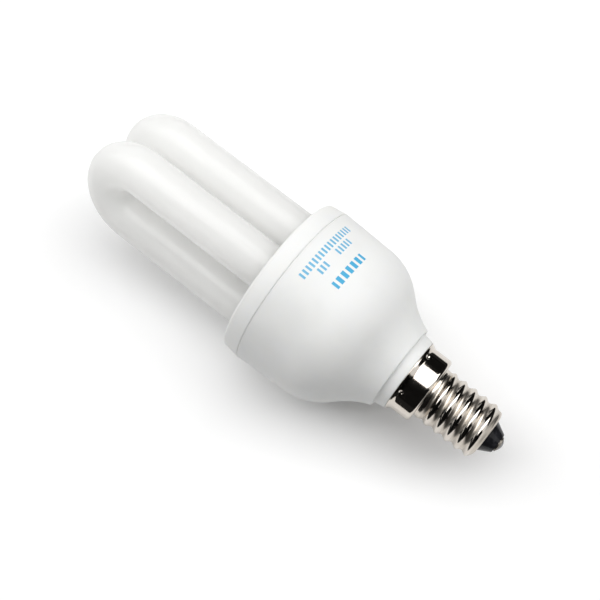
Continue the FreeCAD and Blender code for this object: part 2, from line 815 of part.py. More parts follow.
def filter_coil():
    """Drum choke in the mains side: ferrite drum with its winding level between the flanges."""
    radius = filter_diameter / 2
    top = parts_floor + filter_height
    waist = radius * winding_fill
    drum = Outline(parts_floor, 0).line(parts_floor, radius).line(parts_floor + filter_flange, radius)
    drum.line(parts_floor + filter_flange, waist).line(top - filter_flange, waist)
    drum = drum.line(top - filter_flange, radius).line(top, radius).line(top, 0).turned()
    drum.translate(board_point(filter_place, 0))
    return joined(drum, *lead_pair(filter_place, filter_diameter / 2, UP))


def transistor(place):
    """Switching transistor: moulded body with one flat side, on three leads."""
    start = board_point(place, parts_floor + transistor_lead)
    body = rod(start, AXIS, transistor_diameter / 2, transistor_height)
    flat = block(start + Vector(0, -transistor_diameter, transistor_flat),
                 start + Vector(transistor_height, transistor_diameter, transistor_diameter))
    tail = board_point(place, board_front - part_tail)
    leads = [rod(tail + ACROSS * (side * transistor_pitch), AXIS, part_lead / 2,
                 part_tail + board_thickness + stand_off + transistor_lead) for side in (1, 0, -1)]
    return joined(body.cut(flat), *leads)


def standing_part(place, direction, diameter, length):
    """Part on end: one lead straight down, the other bent back down beside the body."""
    centre = board_point(place, 0)
    body_foot = centre - direction * (hairpin / 2) + AXIS * parts_floor
    body = rod(body_foot, AXIS, diameter / 2, length)
    near = rod(body_foot - AXIS * (parts_floor - board_front + part_tail), AXIS, part_lead / 2,
               parts_floor - board_front + part_tail)
    top = body_foot + AXIS * length
    far = centre + direction * (hairpin / 2) + AXIS * (board_front - part_tail)
    rise = AXIS * hairpin
    far_top = far + AXIS * (parts_floor + length - board_front + part_tail) + rise
    loop = wire([top, top + rise, far_top, far], part_lead, hairpin / 3)
    return joined(body, near, loop)


def rectifier_diodes():
    places = standing_parts()[:len(diode_angles)]
    return [standing_part(place, direction, diode_diameter, diode_length) for place, direction in places]


def resistors():
    return [standing_part(place, UP, resistor_diameter, resistor_length) for place in resistor_places]


def trigger_diode():
    place, direction = standing_parts()[-1]
    return standing_part(place, direction, trigger_diameter, trigger_length)


def wrap_pins():
    """Square pins that the electrode wires are wound on."""
    half = pin_side / 2
    return [block(place + Vector(board_front - pin_tail, -half, -half),
                  place + Vector(board_front - pin_tail + pin_length, half, half))
            for place in pin_places()]


def lead_hole(angle):
    """Where an electrode wire passes the board, on the inner side of the pin at this angle."""
    return around(angle, pin_radius - pin_side / math.sqrt(2) - lead_diameter / 2)


def seal_exits():
    """Where the four electrode wires leave the two seals, in the order of their pins."""
    return [Vector(foot_depth + pinch_length, side * u_spacing / 2 + edge * pinch_width / 4, -leg_pitch / 2)
            for side in (-1, 1) for edge in (-1, 1)]


def electrode_leads():
    """Wires from the seals through the board, wound on the pins."""
    leads = []
    level = (foot_depth + pinch_length + board_front) / 2
    wrap_start = board_back + stand_off
    inner = pin_side / math.sqrt(2)
    for angle, start in zip(pin_angles, seal_exits()):
        pin = around(angle + board_turn, pin_radius, wrap_start)
        through = lead_hole(angle + board_turn)
        lead = wire([start, Vector(level, start.y, start.z), through + AXIS * level,
                     through + AXIS * (wrap_start + wrap_height / 2)], lead_diameter, 2 * lead_diameter)
        turns = rod(pin, AXIS, inner + lead_diameter, wrap_height).cut(rod(pin, AXIS, inner, wrap_height))
        leads.append(joined(lead, turns))
    return leads


def live_wire():
    """Insulated wire from the board to the fuse resistor on the axis."""
    rim = cap_start()
    fuse_low = rim - fuse_length / 2
    bend_place = neck_start() - 2 * wire_bend
    start = board_point(live_place, board_front)
    return wire([start, board_point(live_place, bend_place),
                 Vector(bend_place + wire_bend, 0, 0), Vector(fuse_low, 0, 0)], wire_diameter, wire_bend / 2)


def fuse_resistor():
    """Resistor in the neck that fails first, in line with the wire to the centre contact."""
    rim = cap_start()
    low = rim - fuse_length / 2
    high = rim + fuse_length / 2
    solder_face = rim + cap_skirt_length + thread_length + insulator_height + contact_height
    body = rod(Vector(low, 0, 0), AXIS, fuse_diameter / 2, fuse_length)
    lead = rod(Vector(high, 0, 0), AXIS, part_lead / 2, solder_face - high)
    return joined(body, lead)


def neutral_route(rim):
    """Points of the wire from the board to the groove in the neck."""
    end = rim + spigot_length
    bend_place = neck_start() - 2 * wire_bend
    inner = around(neutral_angle, spigot_bore - wire_diameter)
    outer = around(neutral_angle, cap_sheet_inside - wire_diameter / 2)
    start = board_point(neutral_place, board_front)
    return [start, Vector(bend_place, start.y, start.z),
            Vector(bend_place + 2 * wire_bend, inner.y, inner.z),
            Vector(end + wire_diameter, inner.y, inner.z),
            Vector(end + wire_diameter, outer.y, outer.z),
            Vector(end - spigot_length / 2, outer.y, outer.z)]


def neutral_wire():
    """Wire folded over the end of the neck, where the cap's skirt clamps it."""
    return wire(neutral_route(cap_start()), wire_diameter, wire_diameter)


def wire_groove(rim):
    """Groove in the neck for the folded end of the wire."""
    end = rim + spigot_length
    start = around(neutral_angle + board_turn, cap_sheet_inside - wire_diameter / 2,
                   end - spigot_length / 2 - LEAD_FIT)
    return rod(start, AXIS, wire_diameter / 2 + LEAD_FIT, spigot_length)


# Rest and output

def glass_and_shell():
    """Pieces whose place round the axis is fixed by the U bends."""
    return {
        "discharge_tube": [discharge_tube()],
        "tube_holder": [tube_holder()],
        "tube_cement": [tube_cement()],
        "ballast_housing": [ballast_housing()],
        "cap_shell": [cap_shell()],
        "cap_insulator": [cap_insulator()],
        "centre_contact": [centre_contact()],
        "contact_solder": [contact_solder()],
        "electrode_leads": electrode_leads(),
    }


def board_and_parts():
    """Pieces on the board and the wires that leave it, before the board is turned to its place."""
    return {
        "circuit_board": [circuit_board()],
        "bulk_capacitor": [bulk_capacitor()],
        "choke_core": [choke_core()],
        "choke_bobbin": [choke_bobbin()],
        "choke_winding": [choke_winding()],
        "drive_ring_core": [drive_ring_core()],
        "drive_ring_windings": drive_ring_windings(),
        "resonant_capacitor": [film_capacitor(film_places[0])],
        "blocking_capacitor": [film_capacitor(film_places[1])],
        "filter_coil": [filter_coil()],
        "upper_transistor": [transistor(transistor_places[0])],
        "lower_transistor": [transistor(transistor_places[1])],
        "rectifier_diodes": rectifier_diodes(),
        "resistors": resistors(),
        "trigger_diode": [trigger_diode()],
        "wrap_pins": wrap_pins(),
        "live_wire": [live_wire()],
        "fuse_resistor": [fuse_resistor()],
        "neutral_wire": [neutral_wire()],
    }


def lamp_pieces():
    """Every piece of the lamp along its own axis, by name, as one shape each."""
    lamp = {name: Part.makeCompound(solids) for name, solids in glass_and_shell().items()}
    for name, solids in board_and_parts().items():
        lamp[name] = Part.makeCompound(solids)
        lamp[name].rotate(ORIGIN, AXIS, board_turn)
    return lamp


def laid_down(shape):
    """Shape rolled about the axis and tilted until the housing's barrel lies level underneath."""
    shape = shape.copy()
    shape.rotate(ORIGIN, AXIS, rest_roll)
    shape.rotate(ORIGIN, ACROSS, barrel_draft)
    return shape


def main():
    os.makedirs("parts", exist_ok=True)
    lamp = {name: laid_down(shape) for name, shape in lamp_pieces().items()}
    box = Part.makeCompound(list(lamp.values())).optimalBoundingBox(False, False)
    shift = Vector(-(box.XMin + box.XMax) / 2, -(box.YMin + box.YMax) / 2, -box.ZMin)
    for name, shape in lamp.items():
        shape.translate(shift)
        solids = shape.Solids
        result = solids[0] if len(solids) == 1 else Part.makeCompound(solids)
        result.exportStep("parts/" + name + ".step")
    print("The joint's centre is at", shift, "and the neck's rim", cap_start(), "along the axis from it")


main()
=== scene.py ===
import json
import math

import bpy
from mathutils import Matrix, Vector


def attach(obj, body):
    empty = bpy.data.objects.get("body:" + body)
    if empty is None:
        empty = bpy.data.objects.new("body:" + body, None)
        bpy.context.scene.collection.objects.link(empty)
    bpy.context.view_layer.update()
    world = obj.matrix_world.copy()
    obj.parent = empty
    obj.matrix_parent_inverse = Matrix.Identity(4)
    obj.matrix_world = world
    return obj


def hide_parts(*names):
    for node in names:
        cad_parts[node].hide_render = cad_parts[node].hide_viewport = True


# Compact fluorescent lamp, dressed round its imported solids. Lengths are metres. The lamp's own
# frame has X along its axis from the glass to the cap, with X = 0 at the joint between tube
# holder and housing, Y across the two U bends and Z along each U.

bl_info = {
    "name": "Compact fluorescent lamp",
    "version": (1, 0, 0),
    "blender": (4, 5, 0),
    "location": "View3D > Sidebar > Lamp",
    "description": "Dresses the packed solids of a compact lamp with two U shaped tubes",
    "category": "Object",
}

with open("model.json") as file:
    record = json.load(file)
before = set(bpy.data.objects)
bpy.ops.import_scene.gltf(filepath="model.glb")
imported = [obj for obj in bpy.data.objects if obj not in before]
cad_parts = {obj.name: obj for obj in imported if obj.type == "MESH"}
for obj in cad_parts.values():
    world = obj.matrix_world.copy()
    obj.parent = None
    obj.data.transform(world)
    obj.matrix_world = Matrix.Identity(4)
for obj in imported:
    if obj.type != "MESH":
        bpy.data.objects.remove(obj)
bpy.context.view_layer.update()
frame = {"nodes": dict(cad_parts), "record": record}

MM = 0.001
REST_ROLL = math.radians(-23.5)        # of the U bends, round the lamp's axis
JOINT_TO_SKIRT_MOUNT = 36.9745 * MM

# Camera, as fitted to the outlines in the photograph
FOCAL_PIXELS = 1147.709
IMAGE_PIXELS = 600
SENSOR = 36.0                          # millimetres
CAMERA_DISTANCE = 268.786 * MM         # along the view, from the joint's centre
JOINT_RIGHT = -3.084 * MM              # of the view's centre, along the lamp in the image
JOINT_BELOW = -1.554 * MM              # across the lamp in the image
LEAN_TO_CAMERA = 0.157                 # radians, cap end nearer
ROLL_TO_CAMERA = 0.906                 # radians, of the U bends as seen
LAMP_SLOPE = math.radians(37.6)        # of the lamp's axis in the image


def lamp_place():
    """Matrix from the lamp's own frame to the row's."""
    mount = [m for m in frame["record"]["mounts"] if m["name"] == "cap_skirt"][0]
    axis = Vector(mount["axis"]).normalized()
    joint = Vector(mount["pos_m"]) - axis * JOINT_TO_SKIRT_MOUNT
    tilt = Matrix.Rotation(math.atan2(-axis.z, axis.x), 4, "Y")
    return Matrix.Translation(joint) @ tilt @ Matrix.Rotation(REST_ROLL, 4, "X")


LAMP = lamp_place()


def view_axes():
    """Along the lamp, across it and away from the camera, as unit vectors in the row frame."""
    turn = LAMP.to_3x3()
    along, side, up = turn @ Vector((1, 0, 0)), turn @ Vector((0, -1, 0)), turn @ Vector((0, 0, 1))
    towards = math.sin(ROLL_TO_CAMERA) * up + math.cos(ROLL_TO_CAMERA) * side
    across = -math.cos(ROLL_TO_CAMERA) * up + math.sin(ROLL_TO_CAMERA) * side
    right = math.cos(LEAN_TO_CAMERA) * along - math.sin(LEAN_TO_CAMERA) * towards
    away = -math.sin(LEAN_TO_CAMERA) * along - math.cos(LEAN_TO_CAMERA) * towards
    return right, across, away


# Settings

class LampSizes(bpy.types.PropertyGroup):
    """Sizes of the pieces that are made here."""
    cap_start: bpy.props.FloatProperty(
        name="Cap start", description="Joint to the rim of the screw cap",
        default=33.8245 * MM, unit="LENGTH")
    rim_radius: bpy.props.FloatProperty(
        name="Rim radius", description="Flared rim of the screw cap",
        default=9.1 * MM, unit="LENGTH")
    skirt_radius: bpy.props.FloatProperty(
        name="Skirt radius", description="Plain skirt of the screw cap",
        default=8.5 * MM, unit="LENGTH")
    skirt_length: bpy.props.FloatProperty(
        name="Skirt length", description="Rim to the start of the thread",
        default=6.3 * MM, unit="LENGTH")
    crest_radius: bpy.props.FloatProperty(
        name="Crest radius", description="Thread over its crests",
        default=6.92 * MM, unit="LENGTH")
    root_radius: bpy.props.FloatProperty(
        name="Root radius", description="Thread in its roots",
        default=6.15 * MM, unit="LENGTH")
    thread_pitch: bpy.props.FloatProperty(
        name="Pitch", description="Distance between two turns of the thread",
        default=2.822 * MM, unit="LENGTH")
    thread_length: bpy.props.FloatProperty(
        name="Thread length", description="Skirt to the turned-in lip",
        default=16.0 * MM, unit="LENGTH")
    lip_radius: bpy.props.FloatProperty(
        name="Lip radius", description="Hole in the end of the cap",
        default=4.1 * MM, unit="LENGTH")
    sheet: bpy.props.FloatProperty(
        name="Sheet", description="Thickness of the cap's metal",
        default=0.28 * MM, unit="LENGTH")
    first_crest: bpy.props.FloatProperty(
        name="First crest", description="Joint to the first crest at the thread's start angle",
        default=42.1845 * MM, unit="LENGTH")
    first_crest_angle: bpy.props.FloatProperty(
        name="Start angle", description="Angle round the axis where the first crest is measured",
        default=math.radians(38.1), subtype="ANGLE")
    crimp_angle: bpy.props.FloatProperty(
        name="Crimp angle", description="Angle round the axis of the first punch mark",
        default=math.radians(85), subtype="ANGLE")
    crimp_depth: bpy.props.FloatProperty(
        name="Crimp depth", description="Depth of the punch marks in the skirt",
        default=0.26 * MM, unit="LENGTH")


class LampColours(bpy.types.PropertyGroup):
    """Colours of the surfaces that are seen from outside."""
    coating: bpy.props.FloatVectorProperty(
        name="Coating", description="White powder inside the glass", subtype="COLOR",
        default=(0.87, 0.87, 0.863))
    plastic: bpy.props.FloatVectorProperty(
        name="Plastic", description="Moulded holder and housing", subtype="COLOR",
        default=(0.93, 0.935, 0.915))
    ink: bpy.props.FloatVectorProperty(
        name="Ink", description="Printed marks on the housing", subtype="COLOR",
        default=(0.04, 0.43, 0.72))
    nickel: bpy.props.FloatVectorProperty(
        name="Nickel", description="Plating of the screw cap", subtype="COLOR",
        default=(0.62, 0.575, 0.52))
    insulator: bpy.props.FloatVectorProperty(
        name="Insulator", description="Black glass in the end of the cap", subtype="COLOR",
        default=(0.012, 0.012, 0.014))


# Materials

# Sockets of a Mix node that mixes colours
COLOUR_INPUTS = (6, 7)
COLOUR_OUTPUT = 2


class Field:
    """A number that varies over a surface: one output socket that takes part in sums."""

    def __init__(self, tree, socket):
        self.tree = tree
        self.socket = socket

    def maths(self, operation, *values):
        node = self.tree.node("Math", {"operation": operation}, dict(enumerate(values)))
        return Field(self.tree, node.outputs[0])

    def __add__(self, other):
        return self.maths("ADD", self, other)

    def __radd__(self, other):
        return self.maths("ADD", other, self)

    def __sub__(self, other):
        return self.maths("SUBTRACT", self, other)

    def __rsub__(self, other):
        return self.maths("SUBTRACT", other, self)

    def __mul__(self, other):
        return self.maths("MULTIPLY", self, other)

    def __rmul__(self, other):
        return self.maths("MULTIPLY", other, self)

    def __truediv__(self, other):
        return self.maths("DIVIDE", self, other)

    def __abs__(self):
        return self.maths("ABSOLUTE", self)

    def larger(self, other):
        return self.maths("MAXIMUM", self, other)

    def angle_from(self, other):
        """Angle whose sine and cosine are in proportion to this number and the other."""
        return self.maths("ARCTAN2", self, other)

    def length_with(self, other):
        """Long side of the right-angled triangle that has this number and the other as sides."""
        return self.maths("SQRT", self * self + other * other)

    def repeated(self, period):
        """Distance from the nearest whole multiple of a period."""
        return self.maths("PINGPONG", self, period / 2)

    def ramp(self, low, high):
        """Smooth rise from 0 at low to 1 at high."""
        node = self.tree.node("MapRange", {"interpolation_type": "SMOOTHSTEP"},
                              {"Value": self, "From Min": low, "From Max": high})
        return Field(self.tree, node.outputs["Result"])

    def inside(self, low, high, edge):
        """1 between two values, with soft edges of a given width."""
        return self.ramp(low - edge, low + edge) * (1 - self.ramp(high - edge, high + edge))


class Tree:
    """The nodes of a material or a world."""

    def __init__(self, owner):
        owner.use_nodes = True
        self.nodes = owner.node_tree.nodes
        self.links = owner.node_tree.links
        self.nodes.clear()

    def node(self, kind, settings, sockets):
        """Adds a node of a kind, with its settings and then the values or links of its sockets."""
        node = self.nodes.new("ShaderNode" + kind)
        for name, value in settings.items():
            setattr(node, name, value)
        for key, value in sockets.items():
            if isinstance(value, Field):
                value = value.socket
            if isinstance(value, bpy.types.NodeSocket):
                self.links.new(value, node.inputs[key])
            else:
                node.inputs[key].default_value = value
        return node

    def seen(self):
        """1 for what the camera sees, also by way of metal or glass, and 0 for light that falls."""
        path = self.node("LightPath", {}, {})
        camera, glossy, through = [Field(self, path.outputs["Is " + kind + " Ray"])
                                   for kind in ("Camera", "Glossy", "Transmission")]
        return camera.larger(glossy).larger(through)


class Finish(Tree):
    """A material of the lamp, its nodes in the lamp's own frame."""

    def __init__(self, name, origin):
        self.material = bpy.data.materials.new(name)
        super().__init__(self.material)
        place = self.node("TexCoord", {"object": origin}, {})
        self.place = place.outputs["Object"]
        parts = self.node("SeparateXYZ", {}, {"Vector": self.place})
        self.x, self.y, self.z = [Field(self, socket) for socket in parts.outputs]

    def around(self):
        """Angle round the lamp's axis, from Y towards Z."""
        return self.z.angle_from(self.y)

    def stretched(self, along, across):
        """The place, scaled along the axis and across it."""
        node = self.node("Mapping", {"vector_type": "POINT"},
                         {"Vector": self.place, "Scale": (along, across, across)})
        return node.outputs[0]

    def grain(self, size, detail=2.0, place=None):
        """Noise from 0 to 1 whose patches have about the given size."""
        node = self.node("TexNoise", {}, {"Vector": place or self.place, "Scale": 1 / size,
                                          "Detail": detail})
        return Field(self, node.outputs[0])

    def cells(self, size):
        """Distance to the nearest of scattered points, in parts of the given size."""
        node = self.node("TexVoronoi", {}, {"Vector": self.place, "Scale": 1 / size})
        return Field(self, node.outputs["Distance"])

    def mix(self, share, first, second):
        """Colour between two colours."""
        node = self.node("Mix", {"data_type": "RGBA"}, {"Factor": share})
        for key, colour in zip(COLOUR_INPUTS, (first, second)):
            if isinstance(colour, bpy.types.NodeSocket):
                self.links.new(colour, node.inputs[key])
            else:
                node.inputs[key].default_value = (*colour[:3], 1)
        return node.outputs[COLOUR_OUTPUT]

    def bump(self, height, distance):
        """Normal of a relief, its height from 0 to 1 and its depth a distance."""
        return self.node("Bump", {}, {"Height": height, "Distance": distance}).outputs[0]

    def surface(self, colour, roughness, let_through=0, **others):
        """Ends the material in a shader with these sockets, which may let a share of light by."""
        sockets = {"Base Color": colour, "Roughness": roughness}
        for name, value in others.items():
            sockets[name.replace("_", " ").title().replace("Ior", "IOR")] = value
        shader = self.node("BsdfPrincipled", {}, sockets)
        if let_through:
            powder = self.node("BsdfTranslucent", {}, {"Color": LIT_POWDER})
            shader = self.node("MixShader", {}, {0: let_through, 1: shader.outputs[0],
                                                 2: powder.outputs[0]})
        self.node("OutputMaterial", {}, {"Surface": shader.outputs[0]})
        return self.material


def tinted(colour, tint):
    """A colour times a tint."""
    return tuple(part * share for part, share in zip(colour, tint))


# Glass tubes
LIT_POWDER = (0.985, 0.985, 0.98, 1)   # light that has come through the powder
POWDER_OPENNESS = 0.62                 # share of the light that goes through one side of the wall
THIN_POWDER = (0.965, 0.965, 0.965)
BROWNED_LENGTH = 9 * MM                # of the glass in front of the joint
BROWNED_POWDER = (0.93, 0.915, 0.88)
GLASS_IOR = 1.6


def coated_glass(origin, colours):
    """Clear glass over white powder, slightly uneven, and browned a little near the holder."""
    finish = Finish("coated glass", origin)
    white = tuple(colours.coating)
    cloud = finish.grain(9 * MM, detail=3).ramp(0.35, 0.75)
    colour = finish.mix(cloud, white, tinted(white, THIN_POWDER))
    browned = finish.x.ramp(-BROWNED_LENGTH, 0) * 0.5
    colour = finish.mix(browned, colour, tinted(white, BROWNED_POWDER))
    ripple = finish.grain(6 * MM, 1, finish.stretched(along=0.35, across=1)).ramp(0.2, 0.8)
    return finish.surface(colour, 0.42 + 0.08 * finish.grain(0.4 * MM), POWDER_OPENNESS,
                          normal=finish.bump(finish.grain(0.25 * MM), 0.004 * MM),
                          coat_weight=0.85 + 0.15 * ripple, coat_roughness=0.05,
                          coat_ior=GLASS_IOR, specular_ior_level=0.0)


# White plastic
CLOUDED_PLASTIC = (0.95, 0.95, 0.95)
SPECK_SPACING = 2.4 * MM
SPECK_SHARE = 0.25
SPECK_TINT = (0.8, 0.78, 0.72)
# Darker band along the joint between holder and housing: partly dust, partly painted shade in the
# joint
JOINT_DUST_AND_SHADE_SHARE = 0.12
JOINT_DUST_AND_SHADE_WIDTH = 0.22 * MM
JOINT_DUST_AND_SHADE_COLOUR = (0.42, 0.41, 0.385)
LIGHT_REACH = (1.6 * MM, 1.5 * MM, 1.3 * MM)   # under the surface, for red, green and blue


def plastic_colour(finish, colours):
    """Off-white with a faint cloud, fine specks, and a darker joint line that is partly dust and
    partly painted shade.
    """
    base = tuple(colours.plastic)
    cloud = finish.grain(14 * MM, detail=3).ramp(0.4, 0.7)
    colour = finish.mix(cloud, base, tinted(base, CLOUDED_PLASTIC))
    specks = (1 - finish.cells(SPECK_SPACING).ramp(0.02, 0.05)) * SPECK_SHARE
    colour = finish.mix(specks, colour, tinted(base, SPECK_TINT))
    # Joint line darkened: dust together with painted shade where holder and housing meet
    joint_dust_and_shade = 1 - abs(finish.x).ramp(0, JOINT_DUST_AND_SHADE_WIDTH)
    return finish.mix(joint_dust_and_shade * JOINT_DUST_AND_SHADE_SHARE, colour, JOINT_DUST_AND_SHADE_COLOUR)


def fine_plastic(finish, colour, roughness):
    """Moulded surface that takes in a little light."""
    texture = finish.grain(0.16 * MM, detail=3)
    return finish.surface(colour, roughness + 0.12 * finish.grain(1.1 * MM),
                          normal=finish.bump(texture, 0.006 * MM), specular_ior_level=0.22,
                          subsurface_weight=0.3, subsurface_radius=LIGHT_REACH,
                          subsurface_scale=1.0)


def holder_plastic(origin, colours):
    """Plain white of the tube holder."""
    finish = Finish("holder plastic", origin)
    return fine_plastic(finish, plastic_colour(finish, colours), 0.48)


# Printed rows on the barrel: place along the axis and height in millimetres, first and last angle
# round it and pitch of the bars in degrees, the share of the pitch that is printed, and the
# strength of the ink
PRINTED_ROWS = ((2.75, 1.7, 69, 122, 3.1, 0.5, 0.87), (5.1, 1.7, 79, 94, 3.1, 0.5, 0.87),
                (5.1, 1.7, 104, 112, 3.1, 0.5, 0.87), (9.5, 2.0, 83, 113, 4.8, 0.6, 1.0))
PRINT_EDGE = 0.04 * MM
BARREL_RADIUS = 21 * MM
ROW_END_EDGE = PRINT_EDGE / BARREL_RADIUS
BAR_EDGE = 0.002                       # radians


def printed_marks(finish):
    """Plain bars printed on the barrel, in rows."""
    angle = finish.around()
    marks = None
    for start, height, first, last, pitch, share, ink in PRINTED_ROWS:
        bar = share * math.radians(pitch) / 2
        middle = math.radians(first + last) / 2
        row = finish.x.inside(start * MM, (start + height) * MM, PRINT_EDGE)
        row = row * angle.inside(math.radians(first), math.radians(last), ROW_END_EDGE)
        off = abs(angle - middle).repeated(math.radians(pitch))
        gaps = off.ramp(bar - BAR_EDGE, bar + BAR_EDGE)
        row = row * (1 - gaps) * ink
        marks = row if marks is None else marks + row
    return marks


def housing_plastic(origin, colours):
    """White of the ballast housing with the printed rows, their ink a little worn."""
    finish = Finish("housing plastic", origin)
    worn_ink = printed_marks(finish) * (0.9 + 0.1 * finish.grain(0.3 * MM))
    colour = finish.mix(worn_ink, plastic_colour(finish, colours), tuple(colours.ink))
    return fine_plastic(finish, colour, 0.46)


# Metal and black glass
ROLLED_DEPTH = (6.2 * MM, 6.75 * MM)   # from the lamp's axis, from dull roots to bright crests
ROOT_DULLNESS = 0.24
DULLED_PLATING = (0.80, 0.77, 0.72)
HAZY_GLASS = (2.5, 2.5, 2.5)


def plated_nickel(origin, colours):
    """Bright plating with fine lines from the rolling, duller in the roots of the thread."""
    finish = Finish("plated nickel", origin)
    base = tuple(colours.nickel)
    dull = tinted(base, DULLED_PLATING)
    stain = finish.grain(2.6 * MM, detail=4).ramp(0.45, 0.75)
    lines = finish.grain(0.5 * MM, 3, finish.stretched(along=6, across=0.5))
    rolled = 1 - finish.y.length_with(finish.z).ramp(*ROLLED_DEPTH)
    colour = finish.mix(rolled * 0.5, finish.mix(stain * 0.5, base, dull), dull)
    return finish.surface(colour, 0.085 + 0.10 * stain * lines + ROOT_DULLNESS * rolled,
                          metallic=1.0, normal=finish.bump(lines, 0.002 * MM))


def black_glass(origin, colours):
    """Cast black glass, a little hazy and uneven."""
    finish = Finish("black glass", origin)
    base = tuple(colours.insulator)
    haze = finish.grain(1.3 * MM, detail=3).ramp(0.4, 0.8)
    colour = finish.mix(haze, base, tinted(base, HAZY_GLASS))
    return finish.surface(colour, 0.1 + 0.12 * haze, specular_ior_level=0.22,
                          normal=finish.bump(finish.grain(0.9 * MM), 0.03 * MM))


# Two colours of each finish that isn't set in the panel
COLOUR_PAIRS = {
    "contact metal": ((0.22, 0.20, 0.17), (0.10, 0.09, 0.08)),
    "solder": ((0.36, 0.36, 0.37), (0.16, 0.16, 0.165)),
    "tinned brass": ((0.66, 0.62, 0.54), (0.44, 0.41, 0.36)),
    "lead wire": ((0.55, 0.53, 0.50), (0.36, 0.35, 0.33)),
    "tube cement": ((0.62, 0.58, 0.50), (0.70, 0.67, 0.60)),
    "ferrite": ((0.030, 0.030, 0.033), (0.055, 0.055, 0.06)),
    "former plastic": ((0.02, 0.02, 0.02), (0.03, 0.03, 0.03)),
    "film dip": ((0.36, 0.055, 0.02), (0.30, 0.04, 0.015)),
    "transistor case": ((0.018, 0.018, 0.018), (0.03, 0.03, 0.03)),
    "wire cover": ((0.66, 0.66, 0.66), (0.60, 0.60, 0.60)),
    "diode case": ((0.02, 0.02, 0.02), (0.55, 0.55, 0.55)),
    "resistor coat": ((0.62, 0.48, 0.27), (0.28, 0.10, 0.03)),
    "fuse coat": ((0.20, 0.42, 0.30), (0.55, 0.42, 0.05)),
    "board laminate": ((0.45, 0.29, 0.12), (0.56, 0.39, 0.19)),
    "capacitor sleeve": ((0.02, 0.03, 0.055), (0.03, 0.04, 0.07)),
    # Copper winding: the darker copper is painted shade for the grooves between turns
    "copper winding": ((0.30, 0.09, 0.03), (0.62, 0.25, 0.10)),
}
SLEEVE_STRIPE = (0.55, 0.58, 0.62)
STRIPE_ANGLES = (math.radians(42), math.radians(62))
STRIPE_EDGE = 0.01                     # radians
WIRE_PITCH = 0.22 * MM
SHADED_GROUND = (0.8, 0.8, 0.8)        # under the rings of a banded part
RING_EDGE = 0.05 * MM
RINGED_PITCHES = 3                     # after the first ring


def plain_metal(name, origin, patch, rough):
    """Bare or plated metal with patches of tarnish, bright and dark."""
    finish = Finish(name, origin)
    tarnish = finish.grain(patch, detail=4).ramp(0.35, 0.7)
    return finish.surface(finish.mix(tarnish, *COLOUR_PAIRS[name]), rough + 0.2 * tarnish,
                          metallic=1.0, normal=finish.bump(finish.grain(patch / 6), 0.01 * MM))


def moulded(name, origin, rough, patch=0.5 * MM, relief=0.01 * MM):
    """Moulded, dipped or pressed material with a fine grain of two colours."""
    finish = Finish(name, origin)
    grain = finish.grain(patch, detail=3).ramp(0.35, 0.65)
    colour = finish.mix(grain, *COLOUR_PAIRS[name])
    return finish.surface(colour, rough + 0.1 * finish.grain(patch * 3),
                          normal=finish.bump(grain, relief))


def laminate(origin):
    """Pressed paper board, its fibres drawn out one way."""
    name = "board laminate"
    finish = Finish(name, origin)
    fibre = finish.grain(0.8 * MM, 4, finish.stretched(along=1, across=0.4)).ramp(0.3, 0.7)
    return finish.surface(finish.mix(fibre, *COLOUR_PAIRS[name]), 0.35 + 0.15 * fibre,
                          normal=finish.bump(fibre, 0.01 * MM))


def sleeved_can(origin):
    """Dark shrunk sleeve with a pale stripe down one side."""
    name = "capacitor sleeve"
    finish = Finish(name, origin)
    stripe = finish.around().inside(*STRIPE_ANGLES, STRIPE_EDGE)
    colour = finish.mix(finish.grain(1.2 * MM), *COLOUR_PAIRS[name])
    colour = finish.mix(stripe, colour, SLEEVE_STRIPE)
    return finish.surface(colour, 0.22 + 0.1 * finish.grain(2 * MM),
                          normal=finish.bump(finish.grain(0.8 * MM), 0.02 * MM), coat_weight=0.4)


def wound_copper(origin):
    """Enamelled wire, its turns side by side, with painted shade in the grooves between the turns.
    """
    name = "copper winding"
    finish = Finish(name, origin)
    turns = finish.x.repeated(WIRE_PITCH) / (WIRE_PITCH / 2)
    # Painted shade: the colour follows the relief, darker in the grooves between turns and lighter
    # on each turn's crown
    colour = finish.mix(turns, *COLOUR_PAIRS[name])
    return finish.surface(colour, 0.25 + 0.15 * finish.grain(0.8 * MM), metallic=0.8,
                          normal=finish.bump(turns, 0.05 * MM), coat_weight=0.5)


def banded(name, origin, first, pitch, width):
    """Small round part with rings round its body, from the place of the first ring."""
    finish = Finish(name, origin)
    ground, bands = COLOUR_PAIRS[name]
    along = finish.x - first
    rings = 1 - abs(along).repeated(pitch).ramp(width / 2, width / 2 + RING_EDGE)
    rings = rings * along.inside(-width, RINGED_PITCHES * pitch, 0.02 * MM)
    colour = finish.mix(finish.grain(0.7 * MM), ground, tinted(ground, SHADED_GROUND))
    return finish.surface(finish.mix(rings, colour, bands), 0.35 + 0.1 * finish.grain(1 * MM),
                          normal=finish.bump(finish.grain(0.3 * MM), 0.008 * MM))


# Meshes

def ring_faces(rows, columns):
    """Quads between rows of points that are closed rings, the last row joined to the first."""
    faces = []
    for row in range(rows):
        ahead = (row + 1) % rows
        for column in range(columns):
            beside = (column + 1) % columns
            faces.append((row * columns + column, row * columns + beside,
                          ahead * columns + beside, ahead * columns + column))
    return faces


def piece(name, points, faces, finish):
    """Smooth mesh object from points in the lamp's own frame, riding on the lamp."""
    mesh = bpy.data.meshes.new(name)
    mesh.from_pydata(points, [], faces)
    mesh.polygons.foreach_set("use_smooth", [True] * len(mesh.polygons))
    mesh.materials.append(finish)
    made = bpy.data.objects.new(name, mesh)
    bpy.context.scene.collection.objects.link(made)
    made.matrix_world = LAMP
    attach(made, "root")
    return made


def span(start, end, count):
    """Numbers from start to end, both included."""
    return [start + (end - start) * step / (count - 1) for step in range(count)]


